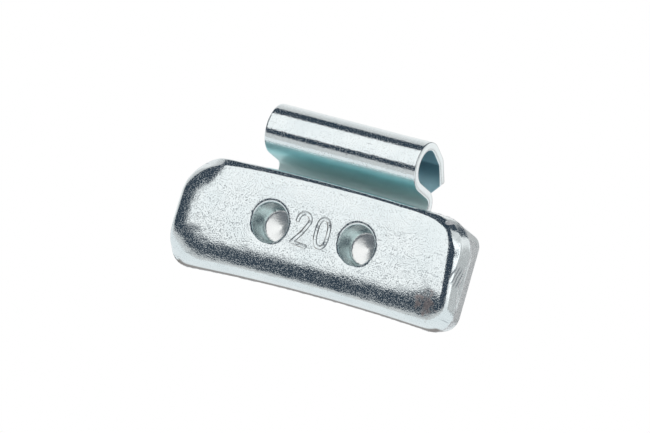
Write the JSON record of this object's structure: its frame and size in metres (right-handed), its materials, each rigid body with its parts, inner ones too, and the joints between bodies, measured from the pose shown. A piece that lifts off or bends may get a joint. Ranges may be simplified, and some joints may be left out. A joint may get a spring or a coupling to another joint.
{
  "type": "wheel balance weight",
  "caption": "Clip-on wheel balance weight: an arched, plated steel bar with a spring clip riveted to its back, which curls over the edge of a rim flange and grips it.",
  "frame": {"origin": "on the axis of the clip's curl, half way along the clip", "axes": "+X along the rim, +Y in towards the wheel (the marked face looks along -Y), +Z out towards the tyre"},
  "size_m": [0.034, 0.0096, 0.0191],
  "materials": {
    "zinc_bar": "bright zinc plating, blue-white, with a fine grain, pits and scratches",
    "zinc_clip": "bright zinc plating on smooth spring steel"
  },
  "bodies": {
    "root": {"weight_body": "zinc_bar", "rim_clip": "zinc_clip"}
  },
  "joints": []
}
